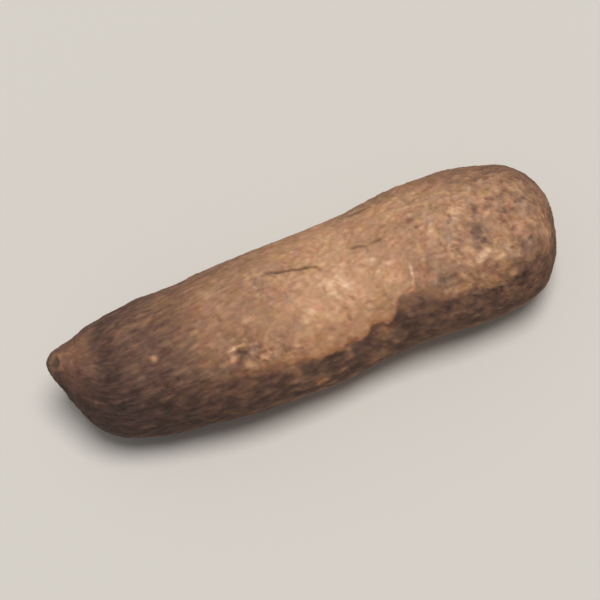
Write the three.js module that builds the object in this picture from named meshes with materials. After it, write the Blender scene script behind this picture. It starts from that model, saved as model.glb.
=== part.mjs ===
// Yam tuber (Dioscorea), one whole root as it is sold, lying on its side.
//
// A yam grows as one solid body, so this model is one closed mesh in one node.
// Units are millimetres, +Z is up and the tuber lies on the plane z = 0.
// +X runs along the tuber, from the narrow end with its stem nub (-X) to the
// blunt, rounded growing end (+X). The origin is at the middle of the tuber's
// box, on the plane that it lies on.
//
// The skin is swept along a gently S-shaped spine: at each station the section
// is nearly round, and it leans near the two slanted ends. Broad,
// low swellings and hollows are then added, as the root has from growing round
// stones and firm soil. The fine corky bark is not part of this model.

import * as THREE from 'three';

// ---- driving dimensions (mm) ----------------------------------------------

const BOX_LENGTH = 330;          // end to end, for reference: the stations set it
const LEAN_TOWARDS = 25.6;       // degrees above +Y, where the slanted ends lean
const REST_LEVEL = 0;            // plane that the tuber lies on
const SETTLE = 0.9;              // how far its soft skin settles on that plane
const CENTRE_X = 0.81;           // moves the stations so that the box is centred
const CENTRE_Y = 3.10;

// Stations along the spine, from the stem nub to the growing end:
//   x, y, z of the spine, half-width, half-height and lean of the section.
// The lean is how far the section's far edge is pushed towards +X.
const STATIONS = [
  [-164.5, 17.3, 60.0, 0.0, 0.0, 0.0],
  [-163.2, 16.2, 59.4, 5.6, 7.7, 0.9],
  [-159.7, 14.0, 57.6, 10.6, 14.0, 2.2],
  [-154.7, 11.1, 54.7, 16.2, 20.3, 4.0],
  [-148.9, 8.2, 51.2, 22.8, 26.7, 6.3],
  [-140.6, 5.0, 47.4, 30.3, 33.0, 8.6],
  [-128.5, 1.9, 44.4, 36.8, 37.6, 9.4],
  [-108.5, -1.1, 43.5, 42.0, 41.8, 7.6],
  [-83.0, -4.9, 44.6, 44.9, 44.3, 5.0],
  [-54.5, -6.1, 46.2, 47.7, 46.9, 2.6],
  [-26.0, -5.5, 46.9, 48.0, 47.4, 1.0],
  [2.0, -4.9, 46.7, 47.6, 47.2, 0.0],
  [29.0, -3.0, 45.8, 47.2, 46.6, -0.2],
  [55.5, -2.1, 45.7, 48.4, 47.0, -0.5],
  [80.0, -1.1, 46.7, 49.6, 48.3, -0.8],
  [101.0, -1.7, 47.5, 49.2, 48.5, -0.8],
  [119.0, -2.8, 47.3, 48.0, 47.1, -1.0],
  [134.0, -3.7, 46.8, 45.1, 44.2, -1.0],
  [145.7, -3.0, 46.4, 39.4, 39.2, -0.7],
  [154.2, -1.4, 46.2, 30.5, 31.1, -0.3],
  [160.0, 0.0, 46.0, 20.2, 21.4, 0.2],
  [163.0, 0.8, 46.0, 10.6, 11.6, 0.3],
  [164.3, 1.2, 46.0, 0.0, 0.0, 0.0],
];

// Swellings (+) and hollows (-): x, angle round the section from +Y up (deg),
// reach along x, reach round the section, height.
const SWELLINGS = [
  [-166, 60, 8, 14, 0.9],     // stem nub
  [-150, 60, 7, 24, -0.7],    // waist behind the nub
  [-152, 215, 14, 20, 1.6],   // heel under the slanted end
  [-118, 75, 24, 20, 0.9],
  [-92, 150, 26, 16, -0.8],
  [-60, 60, 30, 20, -0.7],
  [-34, 118, 26, 18, 1.0],
  [-5, 45, 22, 18, 0.8],
  [22, 100, 24, 20, -0.7],
  [38, 158, 20, 12, -1.1],
  [72, 62, 24, 20, 1.1],
  [84, 128, 26, 12, -1.2],
  [112, 98, 18, 16, 1.0],
  [128, 40, 16, 16, -0.9],
  [138, 140, 14, 16, 1.2],
  [150, 60, 12, 14, 0.9],
  [-122, 232, 26, 20, 1.8],
  [-104, 300, 24, 20, 1.3],
  [-70, 325, 24, 20, -2.0],
  [-66, 205, 26, 18, -1.5],
  [-28, 335, 22, 20, 1.9],
  [8, 212, 26, 18, 1.6],
  [30, 325, 22, 20, -1.6],
  [58, 205, 18, 16, -1.4],
  [84, 325, 22, 18, 1.6],
  [104, 215, 22, 18, 1.7],
  [136, 290, 16, 18, 1.2],
];

// Slow waves round and along the tuber: height, turns round, length, phase.
const WAVES = [
  [0.55, 2, 60, 0.7],
  [0.40, 3, -41, 2.1],
  [0.30, 1, 19, 4.0],
];

// Mesh: quads round a section (a multiple of 8), rows between the two ends,
// and the share of the length that each end's patch covers.
const AROUND = 48;
const ROWS = 38;
const END_SHARE = 0.115;

// ---- skin ------------------------------------------------------------------

const LAST = STATIONS.length - 1;
const DEG = Math.PI / 180;
const REACH_RADIUS = 48;

// Catmull-Rom curve through one column of the stations. Past an end the spine
// turns back on itself, and the width and the lean change sign, so that both
// ends are round and not pointed.
function along(column, s) {
  const k = Math.min(Math.floor(s), LAST - 1);
  const u = s - k;
  const turn = column < 3 ? 1 : -1;
  const at = (i) =>
    i < 0 ? turn * STATIONS[-i][column]
      : i > LAST ? turn * STATIONS[2 * LAST - i][column]
        : STATIONS[i][column];
  const a = at(k - 1), b = at(k), c = at(k + 1), d = at(k + 2);
  return 0.5 * (2 * b + (c - a) * u + (2 * a - 5 * b + 4 * c - d) * u * u
    + (3 * b - a - 3 * c + d) * u * u * u);
}

// Height of the swellings and waves at a place on the skin.
function relief(x, angle, radius) {
  let h = 0;
  for (const [x0, a0, reachX, reachA, height] of SWELLINGS) {
    const turn = Math.atan2(Math.sin(angle - a0 * DEG), Math.cos(angle - a0 * DEG));
    const p = (x - x0) / reachX;
    const q = (turn * REACH_RADIUS) / reachA * Math.min(1, radius / REACH_RADIUS);
    h += height * Math.exp(-(p * p + q * q));
  }
  const full = Math.min(1, radius / 30);
  for (const [height, turns, length, phase] of WAVES) {
    h += full * height * Math.cos(turns * angle + x / length + phase);
  }
  return h;
}

// Point of the skin at station s and angle round the section.
function skin(s, angle) {
  const x = along(0, s), y = along(1, s), z = along(2, s);
  const width = Math.max(0, along(3, s)), height = Math.max(0, along(4, s));
  const lean = along(5, s);
  const h = relief(x, angle, width);
  const side = Math.min(1, width / 12);
  const outward = h * (1 - side) * (s < LAST / 2 ? -1 : 1);
  return new THREE.Vector3(
    x + lean * Math.cos(angle - LEAN_TOWARDS * DEG) + outward + CENTRE_X,
    y + (width + h * side) * Math.cos(angle) + CENTRE_Y,
    Math.max(REST_LEVEL, z - SETTLE + (height + h * side) * Math.sin(angle)),
  );
}

// Stations at equal steps of length along the skin, so that the mesh is even.
const STEPS = 1200;
const lengths = [0];
for (let i = 1; i <= STEPS; i++) {
  let step = 0;
  for (let j = 0; j < 8; j++) {
    const a = (j * Math.PI) / 4;
    step += skin((LAST * i) / STEPS, a).distanceTo(skin((LAST * (i - 1)) / STEPS, a));
  }
  lengths.push(lengths[i - 1] + step / 8);
}
function stationAt(share) {
  const wanted = share * lengths[STEPS];
  let low = 0, high = STEPS;
  while (high - low > 1) {
    const middle = (low + high) >> 1;
    if (lengths[middle] <= wanted) low = middle; else high = middle;
  }
  const part = (wanted - lengths[low]) / (lengths[high] - lengths[low]);
  return (LAST * (low + Math.min(1, Math.max(0, part)))) / STEPS;
}

// ---- mesh ------------------------------------------------------------------
// A square patch closes each end and rows of quads join the patches, so that
// no point gathers a fan of thin triangles.

const SIDE = AROUND / 4;
const positions = [];
const triangles = [];

function addVertex(share, angle) {
  const p = skin(stationAt(share), angle);
  positions.push(p.x, p.y, p.z);
  return positions.length / 3 - 1;
}

// Place in the square patch to distance from its middle (0 to 1) and angle.
function squareToDisc(a, b) {
  if (a === 0 && b === 0) return [0, 0];
  if (Math.abs(a) >= Math.abs(b)) {
    return [Math.abs(a), (Math.PI / 4) * (b / a) + (a > 0 ? 0 : Math.PI)];
  }
  return [Math.abs(b), Math.PI / 2 - (Math.PI / 4) * (a / b) + (b > 0 ? 0 : Math.PI)];
}

function endPatch(atStart, rim) {
  const grid = [];
  for (let i = 0; i <= SIDE; i++) {
    grid.push([]);
    for (let j = 0; j <= SIDE; j++) {
      const [reach, angle] = squareToDisc((2 * i) / SIDE - 1, (2 * j) / SIDE - 1);
      if (reach > 1 - 1e-9) {
        const step = Math.round((angle / (2 * Math.PI)) * AROUND);
        grid[i].push(rim[((step % AROUND) + AROUND) % AROUND]);
      } else {
        grid[i].push(addVertex(atStart ? reach * END_SHARE : 1 - reach * END_SHARE, angle));
      }
    }
  }
  for (let i = 0; i < SIDE; i++) {
    for (let j = 0; j < SIDE; j++) {
      addQuad(grid[i][j], grid[i + 1][j], grid[i + 1][j + 1], grid[i][j + 1], !atStart);
    }
  }
}

function addQuad(a, b, c, d, keep) {
  const q = keep ? [a, b, c, d] : [d, c, b, a];
  const point = (i) => new THREE.Vector3().fromArray(positions, 3 * i);
  const first = point(q[0]).distanceTo(point(q[2]));
  const second = point(q[1]).distanceTo(point(q[3]));
  if (first <= second) triangles.push(q[0], q[1], q[2], q[0], q[2], q[3]);
  else triangles.push(q[0], q[1], q[3], q[1], q[2], q[3]);
}

const rows = [];
for (let i = 0; i <= ROWS; i++) {
  const share = END_SHARE + ((1 - 2 * END_SHARE) * i) / ROWS;
  const row = [];
  for (let j = 0; j < AROUND; j++) row.push(addVertex(share, (2 * Math.PI * j) / AROUND));
  rows.push(row);
}
for (let i = 0; i < ROWS; i++) {
  for (let j = 0; j < AROUND; j++) {
    const k = (j + 1) % AROUND;
    addQuad(rows[i][j], rows[i][k], rows[i + 1][k], rows[i + 1][j], true);
  }
}
endPatch(true, rows[0]);
endPatch(false, rows[ROWS]);

const geometry = new THREE.BufferGeometry();
geometry.setAttribute('position', new THREE.Float32BufferAttribute(positions, 3));
geometry.setIndex(triangles);
geometry.computeVertexNormals();

const bark = new THREE.MeshStandardMaterial({
  name: 'bark',
  color: new THREE.Color().setRGB(0.60, 0.46, 0.37, THREE.SRGBColorSpace),
  roughness: 0.9,
  metalness: 0,
});

const tuber = new THREE.Mesh(geometry, bark);
tuber.name = 'yam_tuber';

const yam = new THREE.Group();
yam.name = 'yam';
yam.add(tuber);

export default yam;
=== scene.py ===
import math

import bpy
import numpy as np
from mathutils import Matrix, Vector


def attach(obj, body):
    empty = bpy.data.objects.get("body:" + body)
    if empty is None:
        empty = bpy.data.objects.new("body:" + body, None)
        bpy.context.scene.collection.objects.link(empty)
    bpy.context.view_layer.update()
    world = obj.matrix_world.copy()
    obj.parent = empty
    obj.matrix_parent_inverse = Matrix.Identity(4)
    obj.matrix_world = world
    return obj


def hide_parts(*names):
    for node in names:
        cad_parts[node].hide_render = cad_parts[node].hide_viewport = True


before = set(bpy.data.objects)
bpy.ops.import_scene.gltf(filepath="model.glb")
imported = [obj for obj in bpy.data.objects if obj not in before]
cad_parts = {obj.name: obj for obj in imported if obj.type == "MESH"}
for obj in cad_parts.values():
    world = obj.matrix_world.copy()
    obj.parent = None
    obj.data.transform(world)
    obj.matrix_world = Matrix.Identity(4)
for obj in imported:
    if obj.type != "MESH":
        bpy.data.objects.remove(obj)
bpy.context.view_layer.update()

# ============================================================================
# A yam tuber lying on a plain floor. Everything below is worked out in
# millimetres in the CAD frame (+X towards the growing end, +Z up, -Y towards
# the camera) and turned into metres when the mesh is made.
# "angle" goes round the section: 0 is +Y, 90 is up, 180 is -Y, 270 is down.
# ============================================================================

# ---- skin: the same numbers as the CAD part --------------------------------

LEAN_TOWARDS = 25.6
SETTLE = 0.9
CENTRE_X = 0.81
CENTRE_Y = 3.10

STATIONS = np.array([
    # x, y, z of the spine, half-width, half-height, lean
    [-164.5, 17.3, 60.0, 0.0, 0.0, 0.0],
    [-163.2, 16.2, 59.4, 5.6, 7.7, 0.9],
    [-159.7, 14.0, 57.6, 10.6, 14.0, 2.2],
    [-154.7, 11.1, 54.7, 16.2, 20.3, 4.0],
    [-148.9, 8.2, 51.2, 22.8, 26.7, 6.3],
    [-140.6, 5.0, 47.4, 30.3, 33.0, 8.6],
    [-128.5, 1.9, 44.4, 36.8, 37.6, 9.4],
    [-108.5, -1.1, 43.5, 42.0, 41.8, 7.6],
    [-83.0, -4.9, 44.6, 44.9, 44.3, 5.0],
    [-54.5, -6.1, 46.2, 47.7, 46.9, 2.6],
    [-26.0, -5.5, 46.9, 48.0, 47.4, 1.0],
    [2.0, -4.9, 46.7, 47.6, 47.2, 0.0],
    [29.0, -3.0, 45.8, 47.2, 46.6, -0.2],
    [55.5, -2.1, 45.7, 48.4, 47.0, -0.5],
    [80.0, -1.1, 46.7, 49.6, 48.3, -0.8],
    [101.0, -1.7, 47.5, 49.2, 48.5, -0.8],
    [119.0, -2.8, 47.3, 48.0, 47.1, -1.0],
    [134.0, -3.7, 46.8, 45.1, 44.2, -1.0],
    [145.7, -3.0, 46.4, 39.4, 39.2, -0.7],
    [154.2, -1.4, 46.2, 30.5, 31.1, -0.3],
    [160.0, 0.0, 46.0, 20.2, 21.4, 0.2],
    [163.0, 0.8, 46.0, 10.6, 11.6, 0.3],
    [164.3, 1.2, 46.0, 0.0, 0.0, 0.0],
])

SWELLINGS = [
    (-166, 60, 8, 14, 0.9), (-150, 60, 7, 24, -0.7), (-152, 215, 14, 20, 1.6),
    (-118, 75, 24, 20, 0.9), (-92, 150, 26, 16, -0.8), (-60, 60, 30, 20, -0.7),
    (-34, 118, 26, 18, 1.0), (-5, 45, 22, 18, 0.8), (22, 100, 24, 20, -0.7),
    (38, 158, 20, 12, -1.1), (72, 62, 24, 20, 1.1), (84, 128, 26, 12, -1.2),
    (112, 98, 18, 16, 1.0), (128, 40, 16, 16, -0.9), (138, 140, 14, 16, 1.2),
    (150, 60, 12, 14, 0.9), (-122, 232, 26, 20, 1.8), (-104, 300, 24, 20, 1.3),
    (-70, 325, 24, 20, -2.0), (-66, 205, 26, 18, -1.5), (-28, 335, 22, 20, 1.9),
    (8, 212, 26, 18, 1.6), (30, 325, 22, 20, -1.6), (58, 205, 18, 16, -1.4),
    (84, 325, 22, 18, 1.6), (104, 215, 22, 18, 1.7), (136, 290, 16, 18, 1.2),
]
WAVES = [(0.55, 2, 60, 0.7), (0.40, 3, -41, 2.1), (0.30, 1, 19, 4.0)]
LAST = len(STATIONS) - 1
REACH_RADIUS = 48.0
END_SHARE = 0.115


def along(column, s):
    """Catmull-Rom curve through a column of the stations, ends turned back."""
    k = np.minimum(np.floor(s).astype(int), LAST - 1)
    u = s - k
    turn = 1.0 if column < 3 else -1.0
    value = STATIONS[:, column]

    def at(i):
        low = turn * value[np.clip(-i, 0, LAST)]
        high = turn * value[np.clip(2 * LAST - i, 0, LAST)]
        return np.where(i < 0, low, np.where(i > LAST, high, value[np.clip(i, 0, LAST)]))

    a, b, c, d = at(k - 1), at(k), at(k + 1), at(k + 2)
    return 0.5 * (2 * b + (c - a) * u + (2 * a - 5 * b + 4 * c - d) * u * u
                  + (3 * b - a - 3 * c + d) * u ** 3)


def wrapped(a):
    return np.arctan2(np.sin(a), np.cos(a))


def relief(x, angle, radius):
    h = np.zeros_like(x)
    for x0, a0, reach_x, reach_a, height in SWELLINGS:
        p = (x - x0) / reach_x
        q = wrapped(angle - math.radians(a0)) * REACH_RADIUS / reach_a \
            * np.minimum(1, radius / REACH_RADIUS)
        h += height * np.exp(-(p * p + q * q))
    full = np.minimum(1, radius / 30)
    for height, turns, length, phase in WAVES:
        h += full * height * np.cos(turns * angle + x / length + phase)
    return h


def skin(s, angle):
    x, y, z = along(0, s), along(1, s), along(2, s)
    width, height = np.maximum(0, along(3, s)), np.maximum(0, along(4, s))
    h = relief(x, angle, width)
    side = np.minimum(1, width / 12)
    outward = h * (1 - side) * np.where(s < LAST / 2, -1, 1)
    return np.stack([
        x + along(5, s) * np.cos(angle - math.radians(LEAN_TOWARDS)) + outward + CENTRE_X,
        y + (width + h * side) * np.cos(angle) + CENTRE_Y,
        np.maximum(0, z - SETTLE + (height + h * side) * np.sin(angle)),
    ], axis=-1)


STEPS = 1200
_s = np.linspace(0, LAST, STEPS + 1)
_len = np.zeros(STEPS + 1)
for _j in range(8):
    _p = skin(_s, np.full(STEPS + 1, _j * math.pi / 4))
    _len[1:] += np.linalg.norm(np.diff(_p, axis=0), axis=1) / 8
lengths = np.cumsum(_len)
MERIDIAN = lengths[-1]


def station_at(share):
    return np.interp(share * MERIDIAN, lengths, _s)


# ---- fine mesh: a square patch on each end, rows of quads between them ------

N = 72                      # quads along a side of an end patch
AROUND = 4 * N
ROWS = 300

grid_share, grid_angle = [], []
rows = np.arange((ROWS + 1) * AROUND).reshape(ROWS + 1, AROUND)
_sh = END_SHARE + (1 - 2 * END_SHARE) * np.arange(ROWS + 1) / ROWS
grid_share.append(np.repeat(_sh, AROUND))
grid_angle.append(np.tile(2 * math.pi * np.arange(AROUND) / AROUND, ROWS + 1))
count = rows.size
quads = []
j = np.arange(AROUND)
k = (j + 1) % AROUND
for i in range(ROWS):
    quads.append(np.stack([rows[i][j], rows[i][k], rows[i + 1][k], rows[i + 1][j]], axis=1))


def square_to_disc(a, b):
    with np.errstate(divide="ignore", invalid="ignore"):
        wide = np.abs(a) >= np.abs(b)
        reach = np.where(wide, np.abs(a), np.abs(b))
        one = math.pi / 4 * np.where(a == 0, 0, b / np.where(a == 0, 1, a)) + np.where(a > 0, 0, math.pi)
        two = math.pi / 2 - math.pi / 4 * np.where(b == 0, 0, a / np.where(b == 0, 1, b)) \
            + np.where(b > 0, 0, math.pi)
    return reach, np.where(wide, one, two)


for at_start, rim in ((True, rows[0]), (False, rows[ROWS])):
    line = 2 * np.arange(N + 1) / N - 1
    a, b = np.meshgrid(line, line, indexing="ij")
    reach, angle = square_to_disc(a, b)
    on_rim = reach > 1 - 1e-9
    index = np.zeros((N + 1, N + 1), int)
    index[on_rim] = rim[np.round(angle[on_rim] / (2 * math.pi) * AROUND).astype(int) % AROUND]
    inside = ~on_rim
    index[inside] = count + np.arange(inside.sum())
    count += int(inside.sum())
    share = reach[inside] * END_SHARE
    grid_share.append(share if at_start else 1 - share)
    grid_angle.append(angle[inside])
    q = np.stack([index[:-1, :-1], index[1:, :-1], index[1:, 1:], index[:-1, 1:]], axis=-1).reshape(-1, 4)
    quads.append(q[:, ::-1] if at_start else q)

share = np.concatenate(grid_share)
angle = np.concatenate(grid_angle)
quads = np.concatenate(quads)
station = station_at(share)
base = skin(station, angle)                      # the CAD skin
radius = np.maximum(0, 0.5 * (along(3, station) + along(4, station)))
AX = along(0, station) + CENTRE_X                # place along the spine
DEGREES = np.degrees(angle) % 360


def mesh_normals(points):
    d1 = points[quads[:, 2]] - points[quads[:, 0]]
    d2 = points[quads[:, 3]] - points[quads[:, 1]]
    face = np.cross(d1, d2)
    out = np.zeros_like(points)
    for c in range(4):
        for axis in range(3):
            out[:, axis] += np.bincount(quads[:, c], face[:, axis], len(points))
    return out / np.maximum(1e-12, np.linalg.norm(out, axis=1))[:, None]


normal = mesh_normals(base)
if np.mean(np.sum(normal * (base - base.mean(axis=0)), axis=1)) < 0:
    normal = -normal

# ---- seeded noise ------------------------------------------------------------


def hashed(ix, iy, iz, seed):
    h = (ix.astype(np.int64) * 374761393 + iy.astype(np.int64) * 668265263
         + iz.astype(np.int64) * 1274126177 + seed * 974634777) & 0xFFFFFFFF
    h = ((h ^ (h >> 15)) * 2246822519) & 0xFFFFFFFF
    h = ((h ^ (h >> 13)) * 3266489917) & 0xFFFFFFFF
    return h ^ (h >> 16)


GRADIENTS = np.array([[1, 1, 0], [-1, 1, 0], [1, -1, 0], [-1, -1, 0], [1, 0, 1], [-1, 0, 1],
                      [1, 0, -1], [-1, 0, -1], [0, 1, 1], [0, -1, 1], [0, 1, -1], [0, -1, -1]], float)


def perlin(p, seed):
    """Smooth noise of points p, about -1 to 1."""
    cell = np.floor(p).astype(np.int64)
    f = p - cell
    u = f ** 3 * (f * (f * 6 - 15) + 10)
    total = 0
    for dx in (0, 1):
        wx = u[:, 0] if dx else 1 - u[:, 0]
        for dy in (0, 1):
            wy = u[:, 1] if dy else 1 - u[:, 1]
            for dz in (0, 1):
                wz = u[:, 2] if dz else 1 - u[:, 2]
                g = GRADIENTS[hashed(cell[:, 0] + dx, cell[:, 1] + dy, cell[:, 2] + dz, seed) % 12]
                dot = g[:, 0] * (f[:, 0] - dx) + g[:, 1] * (f[:, 1] - dy) + g[:, 2] * (f[:, 2] - dz)
                total = total + wx * wy * wz * dot
    return total * 1.3


def fractal(p, seed, octaves=3, gain=0.5):
    total, size, norm = 0, 1.0, 0
    for o in range(octaves):
        total = total + size * perlin(p * 2.03 ** o + 17.3 * o, seed + 31 * o)
        norm += size
        size *= gain
    return total / norm


def worley(p, seed):
    """Distances to the nearest and second-nearest seeded points, and the nearest one's number."""
    cell = np.floor(p).astype(np.int64)
    first = np.full(len(p), 9.0)
    second = np.full(len(p), 9.0)
    name = np.zeros(len(p), np.int64)
    for dx in (-1, 0, 1):
        for dy in (-1, 0, 1):
            for dz in (-1, 0, 1):
                c = cell + (dx, dy, dz)
                h = hashed(c[:, 0], c[:, 1], c[:, 2], seed)
                q = c + np.stack([(h & 1023), ((h >> 10) & 1023), ((h >> 20) & 1023)], axis=1) / 1023
                d = np.linalg.norm(p - q, axis=1)
                closer = d < first
                second = np.where(closer, first, np.minimum(second, d))
                name = np.where(closer, h, name)
                first = np.where(closer, d, first)
    return first, second, name


def smooth(low, high, v):
    t = np.clip((v - low) / (high - low), 0, 1)
    return t * t * (3 - 2 * t)


# ---- places on the skin ------------------------------------------------------

P = base
GRAIN_RADIUS = 46.0
TWIST = 0.13                # the fibres wind slightly round the tuber
grain_angle = angle + TWIST * share * MERIDIAN / GRAIN_RADIUS
grain = np.stack([share * MERIDIAN, GRAIN_RADIUS * np.cos(grain_angle), GRAIN_RADIUS * np.sin(grain_angle)], axis=1)
# Where the ends close, grain coordinates would pinch, so fine grain fades there.
open_side = smooth(9, 26, radius)

# Patches have ragged edges: their places are pushed about by noise.
push_x = 7.0 * fractal(P / 19, 11, 3) + 2.2 * fractal(P / 5.5, 12, 2)
push_a = 7.0 * fractal(P / 19, 13, 3) + 2.2 * fractal(P / 5.5, 14, 2)
WX = AX + push_x
WA = angle + push_a / np.maximum(12, radius)


def turned(deg, warped=True):
    """Signed distance round the section, in mm, from the line at that angle."""
    return wrapped((WA if warped else angle) - math.radians(deg)) * np.clip(radius, 8, 48)


def patch(x0, deg, reach_x, reach_a, warped=True):
    p = ((WX if warped else AX) - x0) / reach_x
    q = turned(deg, warped) / reach_a
    return np.exp(-(p * p + q * q))


def to_line(points, warped=False):
    """Distance in mm to a polyline of (x, degrees), the side it lies on, and the share along it."""
    best = np.full(len(P), 1e9)
    sign = np.zeros(len(P))
    where = np.zeros(len(P))
    total = 0.0
    pieces = []
    for (x0, a0), (x1, a1) in zip(points[:-1], points[1:]):
        step = math.hypot(x1 - x0, (a1 - a0) * math.pi / 180 * 47)
        pieces.append((x0, a0, x1, a1, total, step))
        total += step
    ax = WX if warped else AX
    for x0, a0, x1, a1, start, step in pieces:
        px = ax - x0
        pa = turned(a0, warped)
        dx, da = x1 - x0, math.radians(a1 - a0) * 47
        t = np.clip((px * dx + pa * da) / (step * step), 0, 1)
        d = np.hypot(px - t * dx, pa - t * da)
        closer = d < best
        sign = np.where(closer, np.sign(px * da - pa * dx), sign)
        where = np.where(closer, (start + t * step) / total, where)
        best = np.where(closer, d, best)
    return best, sign, where


# Large zones of the bark.
# fibre: long dry fibres from the stem end; cork: netted, scaly cork.
fibre = np.clip(
    np.interp(WX, [-165, -152, -138, -128, -70, -35, 10, 60, 170],
              [0.10, 0.15, 0.60, 1, 0.92, 0.48, 0.24, 0.16, 0.12])
    + 0.30 * patch(-10, 262, 70, 34) + 0.30 * patch(20, 5, 60, 24) - 0.25 * patch(-45, 128, 22, 12), 0, 1)
cork = np.clip(
    1.0 * patch(114, 100, 36, 42) + 0.8 * patch(142, 80, 24, 50) + 0.5 * patch(78, 132, 16, 14)
    + 0.5 * patch(112, 160, 40, 18)
    + 0.75 * patch(-42, 128, 20, 10) + 0.55 * patch(-22, 140, 16, 8) + 0.35 * patch(55, 60, 26, 18)
    + 0.6 * patch(118, 330, 36, 34) + 0.5 * patch(20, 320, 40, 24) + 0.45 * patch(-60, 290, 34, 22)
    + 0.55 * patch(130, 230, 30, 30) + 0.3 * patch(-100, 10, 30, 22)
    + 0.30 * smooth(0.1, 0.6, fractal(P / 24, 21, 3)), 0, 1)

# Lower flank: above this line the skin is brushed clean and tan, below it the
# bark keeps its dark, earthy outer layer, and that darkness is also painted
# shade on the lower flank. The line is crisp only in the middle.
EDGE = [(-170, 112), (-150, 118), (-121, 128), (-95, 130), (-60, 141), (-33, 149), (-15, 152), (2, 155),
        (14, 155), (17, 151), (21, 151), (25, 155), (30, 153), (34, 146), (38, 145), (43, 149), (47, 149),
        (50, 145), (53, 139), (56, 134), (60, 132), (66, 133), (70, 136), (76, 139), (81, 144), (89, 149),
        (98, 150), (113, 148), (122, 145), (130, 141), (139, 138), (150, 130), (170, 120)]
edge_x = [e[0] for e in EDGE]
crisp = np.interp(AX, [-170, -35, 5, 58, 74, 170], [0, 0, 1, 1, 0.15, 0])
below = np.interp(AX + (0.3 + 0.4 * (1 - crisp)) * push_x, edge_x, np.radians([e[1] for e in EDGE]))
below = wrapped(angle + (0.25 + 0.65 * (1 - crisp)) * push_a / np.maximum(12, radius) - below) \
    * np.clip(radius, 8, 48)
below += (1.6 + 1.4 * (1 - crisp)) * fractal(P / 8, 22, 3)
soft = np.interp(AX, [-170, -60, -20, 2, 48, 60, 74, 110, 170], [16, 15, 8, 2.0, 2.0, 3.4, 7, 10, 12])
dark_layer_and_shade = np.clip((below + soft) / (2 * soft), 0, 1)
dark_layer_and_shade = dark_layer_and_shade * dark_layer_and_shade * (3 - 2 * dark_layer_and_shade)
blot = fractal(P / 12, 23, 3)
patchy = np.interp(AX, [-170, -90, 0, 60, 90, 170], [0.55, 0.7, 0.9, 0.6, 0.5, 0.5])
dark_layer_and_shade *= np.clip(0.84 + patchy * (blot + 0.55 * fractal(P * (0.6, 1, 1) / 5.0, 26, 2)), 0.15, 1.12)
dark_layer_and_shade *= np.interp(AX, [-170, 80, 110, 140, 156, 170], [1, 1, 0.93, 0.88, 0.66, 0.55])
dark_layer_and_shade *= 1 - 0.42 * patch(61, 137, 9, 5) - 0.32 * patch(40, 153, 9, 6) - 0.25 * patch(20, 157, 7, 4) - 0.5 * patch(151, 142, 9, 10)
# underneath and behind, the earthy layer comes and goes
PUSHED = DEGREES + 14 * fractal(P / 24, 27, 2)
under = smooth(180, 232, PUSHED)
dark_layer_and_shade *= (1 - 0.45 * under) * (1 - smooth(232, 286, PUSHED))
dark_layer_and_shade *= 1 - under + under * np.clip(0.75 + 0.9 * fractal(P / 30, 24, 2), 0.1, 1)
hidden_side = smooth(180, 232, DEGREES) + 1 - smooth(12, 52, DEGREES)
dark_layer_and_shade += 0.42 * smooth(0.10, 0.55, fractal(P / 27, 25, 3)) * hidden_side
dark_layer_and_shade = np.clip(dark_layer_and_shade, 0, 1)

# ---- relief of the bark, in mm -----------------------------------------------

h = np.zeros(len(P))
# slow unevenness
h += 0.75 * fractal(P / 31, 41, 2) + 0.38 * fractal(P / 13, 42, 2)

# fibres: wavy dry strands along the tuber, with creases between them
bend = 2.6 * fractal(P / 17, 51, 2) + 1.5 * perlin(P / 8, 55)
g1 = np.stack([grain[:, 0] / 18, (grain[:, 1] + bend) / 4.4, (grain[:, 2] + bend) / 4.4], axis=1)
g2 = np.stack([grain[:, 0] / 10.5, (grain[:, 1] + bend) / 2.7, (grain[:, 2] - bend) / 2.7], axis=1)
strand = 1.25 * np.abs(perlin(g1, 52)) + 0.8 * np.abs(perlin(g2, 53)) - 0.42

# lumps: small puckered swellings all over, with creases between them
wobble = np.stack([fractal(P / 7, 61, 2), fractal(P / 7, 62, 2), fractal(P / 7, 63, 2)], axis=1) * 2.4
stretched = P * (0.78, 1, 1)
lumps = 1.25 * np.abs(perlin((stretched + 0.9 * wobble) / 4.9, 66)) \
    + 0.8 * np.abs(perlin((stretched - 0.7 * wobble) / 2.9, 67)) - 0.42
strand = open_side * strand + (1 - open_side) * lumps
puckered = 0.55 + 0.45 * smooth(-0.3, 0.4, fractal(P / 15, 68, 2))
fibre_h = 0.46 * fibre * strand
lump_h = 0.58 * (1 - 0.8 * fibre) * puckered * lumps
h += fibre_h + lump_h

# cork: scaly patches with a torn net of ridges and irregular sunken places
f1, f2, cell_a = worley((P + 1.7 * wobble) / np.array([8.2, 5.6, 5.6]), 64)
c1, c2, cell_b = worley((P + 1.2 * wobble) / np.array([4.2, 3.3, 3.3]), 65)
torn = smooth(-0.30, 0.25, fractal(P / 8, 74, 2))
net = (1 - smooth(0.03, 0.30, f2 - f1)) * torn
net_fine = (1 - smooth(0.02, 0.26, c2 - c1)) * (1 - 0.7 * torn)
vein = smooth(0.45, 0.95, 1 - 2.4 * np.abs(perlin((P + 1.4 * wobble) / 7.5, 75)))
net = np.maximum(net, 0.8 * vein * (1 - torn))
sunk = fractal((P + 0.8 * wobble) / np.array([7.5, 5.8, 5.8]), 76, 3)
pit = smooth(0.18, 0.42, sunk) * (1 - 0.75 * net)
plate = ((cell_a >> 9) % 97) / 96.0 - 0.5
cork_h = cork * (0.46 * net + 0.22 * net_fine - 0.55 * pit + 0.40 * plate * (1 - net))
h += cork_h

# low rough grain everywhere
rough = fractal(P / 2.9, 71, 2)
h += 0.14 * rough * (0.6 + 0.4 * open_side)

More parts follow.
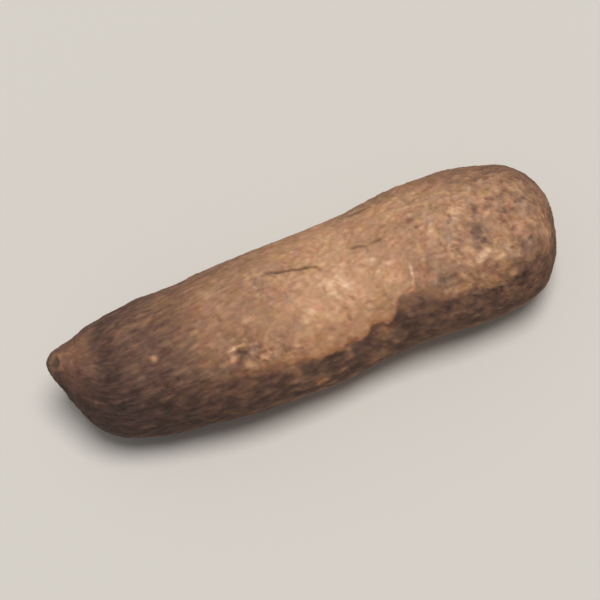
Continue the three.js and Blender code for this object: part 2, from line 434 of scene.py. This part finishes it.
# rootlet scars: small dimples with a raised lip, spread by area
rng = np.random.default_rng(20)
scar_colour = np.zeros(len(P))
tri_area = np.linalg.norm(np.cross(base[quads[:, 2]] - base[quads[:, 0]],
                                   base[quads[:, 3]] - base[quads[:, 1]]), axis=1)
chosen = rng.choice(len(quads), size=150, replace=False, p=tri_area / tri_area.sum())
scar_places = base[quads[chosen, 0]]
scar_size = rng.uniform(0.9, 2.0, len(chosen))
scar_kind = rng.uniform(0, 1, len(chosen))
for centre, size, kind in zip(scar_places, scar_size, scar_kind):
    near = np.nonzero(np.abs(P[:, 0] - centre[0]) < 4 * size)[0]
    d = np.linalg.norm(P[near] - centre, axis=1) / size
    lip = np.exp(-((d - 1.25) / 0.5) ** 2)
    hole = np.exp(-(d / 0.75) ** 2)
    h[near] += size * (0.16 * lip - 0.30 * hole if kind < 0.6 else 0.30 * hole)
    scar_colour[near] += (1.0 if kind < 0.6 else -0.5) * hole

# cracks: (polyline, half-width, depth)
CRACKS = [
    ([(-20, 76), (-15, 75.5), (-11, 76.5), (-8, 78.3), (-3, 80), (1, 81), (5, 83), (10, 84), (14, 86), (17, 88), (18, 93)],
     0.80, 1.30),
    ([(39, 84), (44, 85), (48, 87), (50, 88)], 0.80, 0.85),
    ([(50, 87), (55, 87), (60, 87)], 0.80, 0.75),
    ([(48.5, 87), (49, 93)], 0.75, 0.50),
    ([(44, 48), (50, 48), (55, 49.5), (61, 49)], 1.0, 1.15),
    ([(-118, 262), (-96, 268), (-80, 266), (-64, 272)], 0.70, 1.0),
    ([(60, 322), (74, 328), (92, 327)], 0.65, 0.9),
    ([(18, 12), (34, 16), (46, 14)], 0.60, 0.7),
]
# how far into a crack groove a point lies; the bark is painted darker there as shade in the grooves
crack_shade = np.zeros(len(P))
for points, half, depth in CRACKS:
    jag = 0.35 * fractal(P / 3.4, 81, 2)
    d, side, t = to_line(points)
    d = np.abs(d * side + jag)
    taper = np.clip(np.minimum(t, 1 - t) * 5, 0, 1) ** 0.6
    groove = np.exp(-(d / half) ** 2) * taper
    lip = np.exp(-((d - 2.0 * half) / (1.1 * half)) ** 2) * taper * (side > 0)
    h += -0.8 * depth * groove + 0.25 * depth * lip
    crack_shade = np.maximum(crack_shade, groove * min(1, depth))

# the clean layer ends in a lobed, slightly raised edge above the dark bark
edge_step = np.exp(-(below / 7.0) ** 2) * crisp
h += -0.42 * np.tanh(below / 0.9) * edge_step
rim = np.exp(-((below + 1.6) / 1.5) ** 2) * crisp

# edges where a layer of skin has flaked: a low step
FLAKES = [
    ([(68, 108), (70, 116), (69, 124), (67, 131), (61, 134), (56, 136)], 0.40),
]
flake_edge = np.zeros(len(P))
for points, step in FLAKES:
    d, side, t = to_line(points)
    signed = d * side + 0.7 * fractal(P / 4.0, 85, 2)
    fade = np.exp(-(d / 8.0) ** 2) * np.clip(np.minimum(t, 1 - t) * 6, 0, 1)
    h += step * np.tanh(signed / 0.9) * fade
    flake_edge = np.maximum(flake_edge, np.exp(-((signed + 0.5) / 0.9) ** 2) * fade)

# single marks: (x, degrees) to (x, degrees), width, paler or darker, higher or lower
MARKS = [
    (78, 84, 80, 83, 1.9, -0.07, -0.10), (72, 81, 79, 84, 1.9, -0.04, 0.00),
    (111, 58, 111, 62, 1.8, -0.04, -0.08), (118, 88, 119, 92, 1.6, -0.11, -0.30),
    (124, 93, 129, 92, 1.1, -0.08, -0.15), (110, 102, 114, 103, 1.8, -0.06, -0.15),
    (116, 104, 116, 109, 1.6, -0.08, -0.22), (112, 109, 113, 112, 1.7, -0.10, -0.30),
    (114, 114, 111, 116, 1.5, -0.06, -0.15), (110, 119, 112, 120, 1.7, -0.11, -0.30),
    (117, 116, 119, 120, 1.5, -0.11, -0.22), (103, 111, 104, 114, 1.2, -0.08, -0.22),
    (99, 116, 100, 118, 1.2, -0.11, -0.38), (98, 102, 104, 104, 1.0, -0.06, -0.15),
    (96, 105, 95, 110, 1.2, -0.05, -0.15), (90, 91, 92, 92, 1.2, -0.05, -0.08),
    (93, 98, 94, 99, 1.0, -0.04, -0.08), (132, 79, 134, 79, 1.8, -0.08, -0.22),
    (134, 86, 139, 85, 1.2, -0.08, -0.22), (124, 85, 131, 87, 0.9, -0.05, -0.15),
    (135, 100, 138, 100, 1.6, -0.07, -0.22), (145, 96, 146, 94, 1.7, -0.07, -0.15),
    (138, 123, 138, 128, 1.7, -0.09, -0.30), (136, 114, 137, 114, 1.2, -0.08, -0.22),
    (137, 132, 142, 134, 2.1, -0.08, -0.15), (85, 133, 93, 134, 2.0, -0.13, -0.38),
    (90, 140, 95, 139, 1.2, -0.11, -0.22), (97, 130, 100, 133, 2.1, -0.07, -0.15),
    (88, 121, 85, 127, 1.2, -0.05, -0.15), (115, 138, 120, 138, 1.8, -0.08, -0.22),
    (129, 137, 130, 142, 1.8, -0.08, -0.15), (108, 138, 110, 136, 1.2, -0.06, -0.08),
    (86, 98, 91, 97, 1.3, 0.10, 0.25), (105, 89, 105, 94, 1.6, 0.08, 0.20),
    (106, 96, 109, 93, 1.1, 0.09, 0.20), (109, 128, 117, 124, 1.8, 0.12, 0.30),
    (120, 132, 124, 130, 1.5, 0.11, 0.30), (98, 126, 100, 126, 1.4, 0.10, 0.20),
    (96, 116, 98, 116, 1.3, 0.08, 0.20), (96, 112, 100, 112, 1.0, 0.07, 0.20),
    (78, 110, 80, 111, 1.4, 0.07, 0.10), (77, 115, 78, 114, 1.1, 0.09, 0.20),
    (143, 79, 145, 82, 1.3, 0.11, 0.20), (128, 68, 132, 67, 1.9, 0.05, 0.10),
    (131, 134, 133, 134, 1.1, 0.10, 0.20), (107, 105, 106, 102, 1.3, 0.07, 0.20),
    (138, 119, 140, 111, 1.1, 0.07, 0.20), (122, 100, 127, 96, 1.0, 0.07, 0.20),
    (129, 100, 131, 102, 1.0, 0.07, 0.20), (103, 128, 104, 133, 1.1, 0.08, 0.20),
    (82, 139, 86, 143, 1.5, 0.07, 0.10), (90, 146, 101, 147, 1.4, 0.08, 0.15),
    (70, 113, 69, 120, 0.6, 0.09, 0.20), (69, 120, 66, 130, 0.8, 0.09, 0.25),
    (66, 131, 60, 132, 0.9, 0.12, 0.20), (15, 71, 17, 74, 1.3, -0.05, -0.10),
    (16, 102, 16, 104, 0.9, -0.08, -0.20), (16, 105, 16, 108, 1.0, -0.10, -0.25),
    (24, 108, 23, 113, 1.1, -0.08, -0.20), (29, 119, 30, 121, 1.1, -0.13, -0.30),
    (20, 118, 20, 120, 1.1, -0.07, -0.20), (23, 131, 24, 134, 1.1, -0.09, -0.20),
    (23, 125, 20, 126, 0.9, -0.06, -0.10), (10, 135, 12, 136, 1.3, -0.07, -0.20),
    (15, 142, 17, 143, 1.1, -0.09, -0.20), (42, 135, 44, 135, 1.3, -0.09, -0.20),
    (49, 127, 51, 127, 1.3, -0.09, -0.20), (46, 119, 47, 120, 0.9, -0.08, -0.20),
    (36, 110, 36, 111, 1.0, -0.05, -0.10), (42, 100, 43, 101, 0.9, -0.06, -0.15),
    (34, 141, 36, 143, 1.3, -0.07, -0.10), (-13, 138, -10, 140, 1.3, -0.08, -0.20),
    (-19, 137, -20, 133, 1.3, -0.07, -0.10), (-33, 131, -31, 131, 1.0, -0.13, -0.30),
    (53, 106, 62, 107, 1.5, 0.07, 0.15), (49, 109, 59, 111, 1.1, 0.05, 0.10),
    (27, 106, 30, 110, 1.6, 0.06, 0.10), (16, 61, 18, 62, 1.5, 0.06, 0.15),
    (-2, 123, -1, 124, 1.0, 0.10, 0.20), (1, 95, 3, 95, 1.4, 0.05, 0.15),
    (-26, 80, -25, 82, 1.3, 0.07, 0.15), (12, 126, 13, 128, 1.3, 0.05, 0.10),
    (-5, 147, -2, 146, 1.1, 0.07, 0.20), (-10, 119, -8, 125, 0.9, 0.05, 0.10),
    (-52, 95, -51, 97, 1.1, -0.11, -0.30), (-92, 82, -88, 81, 1.1, -0.07, -0.15),
    (-90, 140, -86, 140, 1.6, -0.08, -0.10), (-51, 83, -50, 89, 1.6, 0.06, 0.15),
    (-68, 97, -68, 101, 1.1, 0.05, 0.10), (-54, 74, -50, 70, 1.1, 0.05, 0.15),
    (-61, 113, -62, 111, 1.6, 0.06, 0.15), (-82, 104, -78, 105, 0.9, 0.09, 0.25),
    (-74, 109, -69, 108, 0.9, 0.09, 0.25), (-73, 114, -69, 114, 0.8, 0.07, 0.20),
    (-50, 121, -45, 120, 1.0, 0.22, 0.46), (-44, 120, -34, 124, 0.9, 0.16, 0.40),
    (-46, 124, -43, 126, 1.7, -0.15, -0.60), (-42, 127, -41, 129, 1.0, -0.12, -0.30),
    (-52, 122, -48, 121, 0.9, 0.14, 0.23), (-51, 127, -49, 129, 1.7, 0.22, 0.57),
    (-61, 126, -53, 126, 0.8, -0.10, -0.30), (-59, 130, -52, 129, 0.9, 0.14, 0.23),
    (-43, 136, -40, 140, 2.1, 0.14, 0.69), (-34, 134, -31, 137, 1.8, 0.08, 0.57),
    (-48, 137, -44, 137, 1.7, 0.08, 0.46), (-55, 137, -49, 136, 1.3, -0.09, -0.30),
    (-42, 144, -38, 144, 1.3, -0.10, -0.30), (-30, 126, -28, 134, 0.9, 0.09, 0.23),
    (-100, 109, -98, 107, 0.8, 0.00, 0.00), (-132, 72, -136, 85, 1.6, -0.04, -0.10),
    (-135, 102, -128, 102, 1.4, -0.06, -0.20), (-134, 116, -129, 115, 1.5, -0.05, -0.20),
    (-124, 116, -119, 115, 1.5, -0.05, -0.20), (-116, 122, -109, 123, 1.3, -0.05, -0.20),
    (-144, 66, -141, 82, 2.5, 0.04, 0.10), (-149, 101, -142, 109, 2.2, 0.03, 0.10),
    (117, 82, 118, 97, 3.0, -0.04, -0.05), (118, 97, 115, 109, 3.2, -0.05, -0.10),
    (115, 109, 111, 120, 2.8, -0.04, -0.05), (101, 100, 97, 108, 2.6, -0.04, -0.05),
    (127, 90, 135, 98, 2.2, -0.04, -0.05), (108, 61, 113, 62, 2.4, -0.04, 0.00),
    (137, 134, 144, 127, 2.8, -0.04, -0.10), (134, 81, 139, 88, 2.2, 0.04, 0.05),
]
mark_tone = np.zeros(len(P))
duller = np.zeros(len(P))
mark_jag = 0.9 * fractal(P / 3.3, 87, 2)
for x0, a0, x1, a1, width, paler, higher in MARKS:
    near = np.nonzero(np.abs(AX - (x0 + x1) / 2) < 9 + abs(x1 - x0) / 2)[0]
    scale = np.clip(radius[near], 8, 48)
    px = AX[near] - x0
    pa = wrapped(angle[near] - math.radians(a0)) * scale
    dx, da = x1 - x0, math.radians(a1 - a0) * float(np.interp(x0, [-165, -140, -100, 165], [10, 30, 44, 46]))
    t = np.clip((px * dx + pa * da) / max(1e-6, dx * dx + da * da), 0, 1)
    d = np.maximum(0, np.hypot(px - t * dx, pa - t * da) + mark_jag[near])
    shape = np.exp(-(d / (width * 1.05)) ** 2.4)
    mark_tone[near] += paler * shape
    if paler < 0 and x0 > 80:
        duller[near] = np.maximum(duller[near], shape)
    h[near] += higher * shape

# stem scar on the upper side of the nub: a small dish with a rough rim
SCAR = np.array([-157.6, 14.6, 71.2])
d_tip = np.linalg.norm((P - SCAR) * (1.0, 0.85, 0.85), axis=1) + 0.6 * fractal(P / 3.2, 91, 2)
dish = np.exp(-(d_tip / 2.7) ** 4)
rim_ring = np.exp(-((d_tip - 4.4) / 1.3) ** 2)
h += -1.2 * dish + 0.55 * rim_ring + 0.25 * dish * fractal(P / 1.4, 92, 2)
tip = base[np.argmin(np.minimum(share, 1 - share) + (share > 0.5))]
d_end = np.linalg.norm(P - tip, axis=1)
h += 0.45 * np.exp(-(d_end / 7) ** 2) * fractal(P / 3.0, 93, 2)

for x0, a0, size in ((-98, 108, 1.5), (126, 147, 1.8)):
    h += 0.7 * np.exp(-(np.hypot(AX - x0, turned(a0, False)) / size) ** 2)

# flat where it rests, and no deep relief at the contact
contact = 1 - smooth(0.0, 2.5, base[:, 2])
h = np.where(h > 0, h * (1 - 0.8 * contact), h)
points = base + normal * h[:, None]
points[:, 2] = np.maximum(0.0, points[:, 2])

# ---- tone: how pale the bark is, 0 to 1, with painted shade in places --------

# darker towards the stem end: partly the bark's own colour, partly a painted shadow over that end
tone = np.interp(WX, [-165, -158, -146, -130, -105, -80, -55, -30, -8, 14, 40, 66, 84, 110, 132, 150, 160, 168],
                 [0.46, 0.47, 0.455, 0.375, 0.42, 0.49, 0.575, 0.625, 0.675, 0.715, 0.695, 0.665, 0.645, 0.635, 0.605, 0.575, 0.53, 0.46])
tone = tone + 0.045 * fractal(P / 16, 101, 3)
tone += (0.09 * fractal(P / 23, 107, 3) + 0.05 * fractal(P / 8, 108, 2)) * hidden_side   # weathering behind and below
tone += 0.03 * patch(22, 108, 34, 22)                  # brightest part of the middle
tone += 0.07 * patch(-58, 74, 20, 17) + 0.05 * patch(30, 66, 12, 10) + 0.04 * patch(-95, 52, 24, 12)
tone -= 0.075 * patch(76, 124, 8, 12)                  # a duller layer right of the flaked edge
tone += 0.04 * patch(56, 119, 14, 6) + 0.05 * patch(34, 108, 32, 12)
tone -= 0.06 * patch(-131, 100, 10, 22) + 0.055 * patch(-92, 122, 13, 22)
tone += 0.07 * patch(84, 64, 20, 12) + 0.07 * patch(112, 84, 12, 14) + 0.04 * patch(92, 96, 12, 8)
tone -= 0.05 * patch(90, 124, 6, 8) + 0.06 * patch(139, 132, 6, 10)
tone += 0.13 * patch(152, 137, 9, 11)
tone += 0.055 * patch(112, 126, 16, 6) - 0.10 * patch(-38, 127, 18, 9)
tone -= 0.08 * patch(114, 108, 7, 9) + 0.13 * patch(90, 137, 8, 3.0)
tone -= 0.03 * patch(98, 66, 16, 12) + 0.03 * patch(120, 75, 12, 8)
tone -= 0.03 * patch(-125, 132, 20, 12)
# painted shade: both flanks darker than the top, where light from overhead falls off
tone -= 0.05 * (smooth(116, 150, DEGREES) + 1 - smooth(40, 76, DEGREES))
# painted shade on the upper back edge of the growing end
tone -= 0.05 * patch(135, 48, 40, 26)
tone += 0.04 * patch(-150, 100, 14, 18)                # paler cone round the stem scar
tone += 0.05 * patch(96, 145, 14, 3.0) - 0.05 * patch(108, 139, 12, 5)
# the dark earthy layer, which is also painted shade on the lower flank, darkens the tone
tone -= dark_layer_and_shade * np.clip(tone - 0.25, 0, 1) * 0.84
tone = np.clip(tone, 0.12, 0.95)

tone = np.clip(tone + mark_tone * np.clip(tone / 0.6, 0.4, 1.0), 0.14, 0.93)
# painted shade: the relief height also sets the colour, darker in hollows and paler on rises
height_fine = 1.1 * fibre * strand + cork_h / 0.55 + 1.1 * (1 - 0.8 * fibre) * puckered * lumps + 0.25 * rough
cavity_shade = np.clip(height_fine, -1, 1)
blotch = fractal(P / 6.5, 103, 3)

# ---- the mesh object ---------------------------------------------------------

mesh = bpy.data.meshes.new("yam_skin")
mesh.vertices.add(len(points))
mesh.vertices.foreach_set("co", (points / 1000).astype(np.float32).ravel())
tri_quads = quads.astype(np.int32)
mesh.loops.add(tri_quads.size)
mesh.loops.foreach_set("vertex_index", tri_quads.ravel())
mesh.polygons.add(len(tri_quads))
mesh.polygons.foreach_set("loop_start", np.arange(0, tri_quads.size, 4, dtype=np.int32))
mesh.polygons.foreach_set("loop_total", np.full(len(tri_quads), 4, dtype=np.int32))
mesh.update(calc_edges=True)
mesh.validate()
for p in mesh.polygons:
    p.use_smooth = True


def store(name, values):
    values = np.asarray(values, dtype=np.float32)
    if values.ndim == 2:
        mesh.attributes.new(name, "FLOAT_VECTOR", "POINT").data.foreach_set("vector", values.ravel())
    else:
        mesh.attributes.new(name, "FLOAT", "POINT").data.foreach_set("value", values)


store("grain", grain)
store("tone", tone)
store("fibre", fibre * open_side)
store("cork", cork)
store("dark_layer_and_shade", dark_layer_and_shade)
store("cavity_shade", cavity_shade)
store("net", np.clip(cork * (0.75 * net + 0.4 * net_fine), 0, 1))
store("pit", np.clip(cork * pit, 0, 1))
store("strand", strand * open_side)
store("lumps", lumps * (1 - 0.8 * fibre) * puckered)
store("rim", rim)
store("duller", duller)
store("warm", smooth(126, 144, DEGREES) * (1 - smooth(195, 245, DEGREES)) * smooth(-130, -60, AX))
store("cool", patch(10, 101, 110, 15))
store("rosy", np.clip(0.9 * patch(-149, 100, 13, 24) + 0.7 * patch(44, 151, 9, 5) + 0.6 * patch(10, 151, 22, 3)
                       + 0.5 * patch(132, 158, 22, 10) + 0.5 * patch(-60, 152, 40, 7) + 0.6 * smooth(0.1, 0.5, fractal(P / 10, 106, 3)), 0, 1))
store("blotch", blotch)
store("cork_blot", fractal(P / 9.5, 104, 3))
store("crack_shade", np.clip(crack_shade, 0, 1))
store("flake", flake_edge)
store("scar", np.clip(scar_colour, -1, 1))
store("stem", np.clip(dish, 0, 1))
store("stem_rim", rim_ring)
torn_spots = smooth(-0.1, 0.5, fractal(P / 3.0, 105, 2))
store("bead", np.clip(1.0 * np.exp(-(np.hypot(AX + 98 - 0.7 * rough, turned(108, False)) / 2.0) ** 2.4)
                      + 0.8 * np.exp(-(np.hypot(AX - 126, turned(147, False) + 0.7 * rough) / 2.6) ** 2.4), 0, 1))
store("ochre", np.clip((0.6 * patch(158, 116, 3.0, 5.0, False) + 0.6 * patch(-43, 138, 9, 5)
                        + 0.5 * patch(50, 136, 16, 6) + 0.5 * patch(-25, 146, 12, 5)
                        + 0.4 * patch(100, 146, 16, 4) + 0.4 * patch(-10, 300, 26, 16)
                        + 0.4 * patch(90, 10, 20, 14)) * torn_spots, 0, 1))

yam = bpy.data.objects.new("yam", mesh)
bpy.context.scene.collection.objects.link(yam)

# ---- materials -----------------------------------------------------------------


def linear(c):
    out = []
    for v in c:
        v = v / 255
        out.append(v / 12.92 if v <= 0.04045 else ((v + 0.055) / 1.055) ** 2.4)
    return out


class Nodes:
    """Small helper to write node trees as expressions."""

    def __init__(self, name):
        self.material = bpy.data.materials.new(name)
        self.material.use_nodes = True
        self.tree = self.material.node_tree
        self.shader = next(n for n in self.tree.nodes if n.type == "BSDF_PRINCIPLED")

    def node(self, kind, **settings):
        n = self.tree.nodes.new(kind)
        for key, value in settings.items():
            setattr(n, key, value)
        return n

    def put(self, socket, value):
        if isinstance(value, bpy.types.NodeSocket):
            self.tree.links.new(value, socket)
        else:
            socket.default_value = value

    def attribute(self, name, vector=False):
        n = self.node("ShaderNodeAttribute", attribute_type="GEOMETRY", attribute_name=name)
        return n.outputs["Vector"] if vector else n.outputs["Fac"]

    def math(self, operation, a, b=0.0, clamp=False):
        n = self.node("ShaderNodeMath", operation=operation, use_clamp=clamp)
        self.put(n.inputs[0], a)
        self.put(n.inputs[1], b)
        return n.outputs[0]

    def scaled(self, vector, by):
        n = self.node("ShaderNodeVectorMath", operation="MULTIPLY")
        self.put(n.inputs[0], vector)
        n.inputs[1].default_value = by
        return n.outputs[0]

    def noise(self, vector, scale=1.0, detail=2.0, roughness=0.5, distortion=0.0):
        """Noise from -1 to 1, about 0."""
        n = self.node("ShaderNodeTexNoise", noise_dimensions="3D")
        self.put(n.inputs["Vector"], vector)
        n.inputs["Scale"].default_value = scale
        n.inputs["Detail"].default_value = detail
        n.inputs["Roughness"].default_value = roughness
        n.inputs["Distortion"].default_value = distortion
        return self.range(n.outputs[0], 0.25, 0.75, -1, 1)

    def cells(self, vector, scale=1.0, feature="F1"):
        n = self.node("ShaderNodeTexVoronoi", voronoi_dimensions="3D", feature=feature)
        self.put(n.inputs["Vector"], vector)
        n.inputs["Scale"].default_value = scale
        return n

    def range(self, value, a, b, c=0.0, d=1.0, clamp=False, kind="LINEAR"):
        n = self.node("ShaderNodeMapRange", clamp=clamp, interpolation_type=kind)
        self.put(n.inputs["Value"], value)
        n.inputs["From Min"].default_value = a
        n.inputs["From Max"].default_value = b
        n.inputs["To Min"].default_value = c
        n.inputs["To Max"].default_value = d
        return n.outputs["Result"]

    def ramp(self, value, stops):
        n = self.node("ShaderNodeValToRGB")
        self.put(n.inputs["Fac"], value)
        e = n.color_ramp.elements
        while len(e) < len(stops):
            e.new(0.5)
        for item, (place, colour) in zip(e, stops):
            item.position = place
            item.color = (*colour, 1)
        return n.outputs["Color"]

    def mix(self, factor, a, b, mode="MIX"):
        n = self.node("ShaderNodeMix", data_type="RGBA", blend_type=mode, clamp_factor=True)
        self.put(n.inputs["Factor"], factor)
        self.put(n.inputs[6], a if isinstance(a, bpy.types.NodeSocket) else (*a, 1))
        self.put(n.inputs[7], b if isinstance(b, bpy.types.NodeSocket) else (*b, 1))
        return n.outputs[2]

    def add(self, *terms):
        total = terms[0]
        for t in terms[1:]:
            total = self.math("ADD", total, t)
        return total

    def times(self, *terms):
        total = terms[0]
        for t in terms[1:]:
            total = self.math("MULTIPLY", total, t)
        return total


bark = Nodes("bark")
A = bark.attribute
object_mm = bark.scaled(bark.node("ShaderNodeTexCoord").outputs["Object"], (1000, 1000, 1000))
grain_mm = A("grain", True)

tone_a, fibre_a, cork_a, dark_layer_and_shade_a = A("tone"), A("fibre"), A("cork"), A("dark_layer_and_shade")
cavity_shade_a, net_a, pit_a, strand_a = A("cavity_shade"), A("net"), A("pit"), A("strand")

streak_1 = bark.noise(bark.scaled(grain_mm, (1 / 12, 1 / 2.0, 1 / 2.0)), 1, 2, 0.5, 0.6)
streak_2 = bark.noise(bark.scaled(grain_mm, (1 / 6, 1 / 1.0, 1 / 1.0)), 1, 1, 0.5, 0.3)
mottle = bark.noise(object_mm, 1 / 7.5, 3, 0.55, 0.4)
grit = bark.noise(object_mm, 1 / 1.7, 2, 0.6)
fine = bark.noise(object_mm, 1 / 0.7, 1, 0.5)

contrast = bark.range(tone_a, 0.2, 0.8, 0.75, 1.1)      # pale bark shows its marks more
value = bark.add(
    tone_a,
    bark.times(mottle, 0.024, contrast),
    bark.times(A("blotch"), 0.050, contrast),
    # painted shade and highlight: lumps, fibre strands and relief are darker in their creases and paler on their
    # raised parts; for the strands this is partly their own pale and dark streaks
    bark.times(A("lumps"), 0.130, contrast),
    bark.times(strand_a, fibre_a, 0.090),
    bark.times(streak_1, bark.range(fibre_a, 0, 1, 0.004, 0.046)),
    bark.times(streak_2, bark.range(fibre_a, 0, 1, 0.0, 0.016)),
    bark.times(cavity_shade_a, 0.018),
    bark.times(net_a, 0.085),
    bark.times(pit_a, -0.10),
    bark.times(A("cork_blot"), cork_a, 0.075),
    bark.times(bark.noise(object_mm, 1 / 3.6, 3, 0.6, 0.8), bark.range(cork_a, 0, 1, 0.014, 0.036), contrast),
    bark.times(grit, 0.012),
    bark.times(fine, 0.006),
    bark.times(A("scar"), -0.08),
    # painted shade in the crack grooves
    bark.times(A("crack_shade"), -0.28),
    bark.times(A("flake"), 0.10),
    bark.times(A("rim"), -0.05),
    bark.times(A("stem"), -0.13),
    bark.times(A("stem_rim"), 0.06),
)
# small dark specks of soil, and a few pale ones
soil = bark.cells(object_mm, 1 / 4.3)
speck = bark.math("MULTIPLY", bark.range(soil.outputs["Distance"], 0.10, 0.24, 1, 0, True),
                  bark.range(bark.noise(object_mm, 1 / 11, 1), 0.1, 0.7, 0, 1, True))
value = bark.add(value, bark.times(speck, -0.055))
flour = bark.cells(bark.scaled(object_mm, (1, 1, 1.3)), 1 / 6.1)
pale = bark.math("MULTIPLY", bark.range(flour.outputs["Distance"], 0.08, 0.22, 1, 0, True),
                 bark.range(bark.noise(object_mm, 1 / 13, 1), 0.0, 0.8, 0, 1, True))
value = bark.add(value, bark.times(pale, 0.045))

PALETTE = [(30, 25, 25), (46, 38, 36), (60, 47, 43), (78, 59, 53), (104, 78, 66), (128, 97, 79),
           (148, 111, 86), (168, 129, 101), (185, 143, 111), (205, 163, 129), (225, 187, 152), (240, 210, 180)]
colour = bark.ramp(value, [(c[0] / 255, linear(c)) for c in PALETTE])

# drifts of hue at the same paleness: rosy, ochre, grey
hue = bark.noise(object_mm, 1 / 12, 3, 0.6, 0.6)
colour = bark.mix(bark.range(hue, 0.0, 0.9, 0, 0.85, True), colour, (1.04, 0.89, 0.87), "MULTIPLY")
colour = bark.mix(bark.range(hue, -0.9, -0.05, 0.8, 0, True), colour, (0.97, 1.03, 1.02), "MULTIPLY")
hue_2 = bark.noise(bark.scaled(object_mm, (1, 1, 1.1)), 1 / 8.0, 3, 0.65, 0.5)
colour = bark.mix(bark.range(hue_2, 0.0, 0.9, 0, 0.8, True), colour, (1.0, 0.98, 0.76), "MULTIPLY")
colour = bark.mix(bark.range(hue_2, -0.9, -0.05, 0.7, 0, True), colour, (1.0, 0.99, 1.10), "MULTIPLY")
hue_3 = bark.noise(bark.scaled(grain_mm, (1 / 9, 1 / 4.5, 1 / 4.5)), 1, 2, 0.6, 0.4)
colour = bark.mix(bark.range(hue_3, 0.1, 0.9, 0, 0.7, True), colour, (1.03, 0.91, 0.90), "MULTIPLY")
colour = bark.mix(bark.range(hue_3, -0.9, -0.1, 0.7, 0, True), colour, (0.97, 1.02, 0.92), "MULTIPLY")
grey = bark.noise(object_mm, 1 / 9.0, 3, 0.65, 0.4)
grey_mask = bark.math("ADD", bark.times(bark.range(grey, 0.1, 0.9, 0, 0.34, True), bark.range(cork_a, 0, 1, 0.2, 1)),
                      bark.math("ADD", bark.times(dark_layer_and_shade_a, 0.06), bark.times(A("duller"), 0.12)), True)
hsv = bark.node("ShaderNodeHueSaturation")
hsv.inputs["Saturation"].default_value = 0.45
bark.put(hsv.inputs["Color"], colour)
colour = bark.mix(grey_mask, colour, hsv.outputs["Color"])
colour = bark.mix(A("warm"), colour, (1.02, 0.985, 0.915), "MULTIPLY")
colour = bark.mix(A("cool"), colour, (0.995, 1.0, 1.045), "MULTIPLY")
colour = bark.mix(bark.times(A("rosy"), 0.6), colour, (1.03, 0.88, 0.87), "MULTIPLY")
colour = bark.mix(bark.times(A("rim"), 0.55), colour, (1.04, 0.84, 0.66), "MULTIPLY")
colour = bark.mix(bark.times(A("ochre"), 0.85), colour, (1.05, 0.86, 0.58), "MULTIPLY")
colour = bark.mix(bark.times(A("bead"), 0.85), colour, linear((206, 158, 116)))
colour = bark.mix(bark.times(A("stem"), 0.55), colour, linear((92, 86, 66)))

bark.put(bark.shader.inputs["Base Color"], colour)
bark.put(bark.shader.inputs["Roughness"], bark.range(grit, -1, 1, 0.80, 0.95, True))
bark.shader.inputs["Specular IOR Level"].default_value = 0.22
height = bark.add(bark.times(grit, 0.55), bark.times(fine, 0.35),
                  bark.times(streak_2, bark.range(fibre_a, 0, 1, 0.2, 0.8)))
bump = bark.node("ShaderNodeBump")
bump.inputs["Strength"].default_value = 0.30
bump.inputs["Distance"].default_value = 0.00022
bark.put(bump.inputs["Height"], height)
bark.put(bark.shader.inputs["Normal"], bump.outputs["Normal"])
mesh.materials.append(bark.material)

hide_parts("yam_tuber")
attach(yam, "root")

# ---- floor, light, camera ------------------------------------------------------

floor_mesh = bpy.data.meshes.new("floor")
ring = [(30 * math.cos(t * math.pi / 64), 30 * math.sin(t * math.pi / 64), 0) for t in range(128)]
floor_mesh.from_pydata(ring, [], [list(range(128))])
floor = bpy.data.objects.new("floor", floor_mesh)
bpy.context.scene.collection.objects.link(floor)
plain = Nodes("floor_plain")
plain.shader.inputs["Base Color"].default_value = (*linear((214, 211, 206)), 1)
plain.shader.inputs["Roughness"].default_value = 0.9
plain.shader.inputs["Specular IOR Level"].default_value = 0.1
floor_mesh.materials.append(plain.material)

# A plain studio sky, paler in a low band so that floor and backdrop meet softly.
world = bpy.data.worlds.new("studio")
world.use_nodes = True
sky = world.node_tree
background = next(n for n in sky.nodes if n.type == "BACKGROUND")
background.inputs["Color"].default_value = (1.0, 0.985, 0.965, 1)
direction = sky.nodes.new("ShaderNodeTexCoord")
parts = sky.nodes.new("ShaderNodeSeparateXYZ")
sky.links.new(direction.outputs["Generated"], parts.inputs[0])
band = sky.nodes.new("ShaderNodeMapRange")
band.interpolation_type = "SMOOTHSTEP"
band.inputs["From Min"].default_value = 0.10
band.inputs["From Max"].default_value = 0.34
band.inputs["To Min"].default_value = 0.70
band.inputs["To Max"].default_value = 0.22
sky.links.new(parts.outputs["Z"], band.inputs["Value"])
sky.links.new(band.outputs["Result"], background.inputs["Strength"])
bpy.context.scene.world = world


key = bpy.data.lights.new("key", "SUN")
key.energy = 2.45
key.angle = math.radians(26)
key.color = (1.0, 0.975, 0.94)
key_object = bpy.data.objects.new("key", key)
key_object.rotation_euler = Vector((0.35, -0.14, 1.62)).to_track_quat("Z", "Y").to_euler()
bpy.context.scene.collection.objects.link(key_object)

camera_data = bpy.data.cameras.new("camera")
camera_data.lens = 141.53
camera_data.sensor_width = 36
camera_data.clip_start = 0.01
camera_data.clip_end = 100
camera = bpy.data.objects.new("camera", camera_data)
back_axis = Vector((0.031381, -0.433695, 0.900513)).normalized()
forward = -back_axis
right0 = forward.cross(Vector((0, 0, 1))).normalized()
down0 = forward.cross(right0).normalized()
roll = math.radians(24.72)
right = (math.cos(roll) * right0 + math.sin(roll) * down0).normalized()
up = back_axis.cross(right).normalized()
camera.matrix_world = Matrix((
    (right.x, up.x, back_axis.x, 0.04457),
    (right.y, up.y, back_axis.y, -0.63654),
    (right.z, up.z, back_axis.z, 1.38157),
    (0, 0, 0, 1),
))
bpy.context.scene.collection.objects.link(camera)
bpy.context.scene.camera = camera
bpy.context.scene.view_settings.view_transform = "Standard"
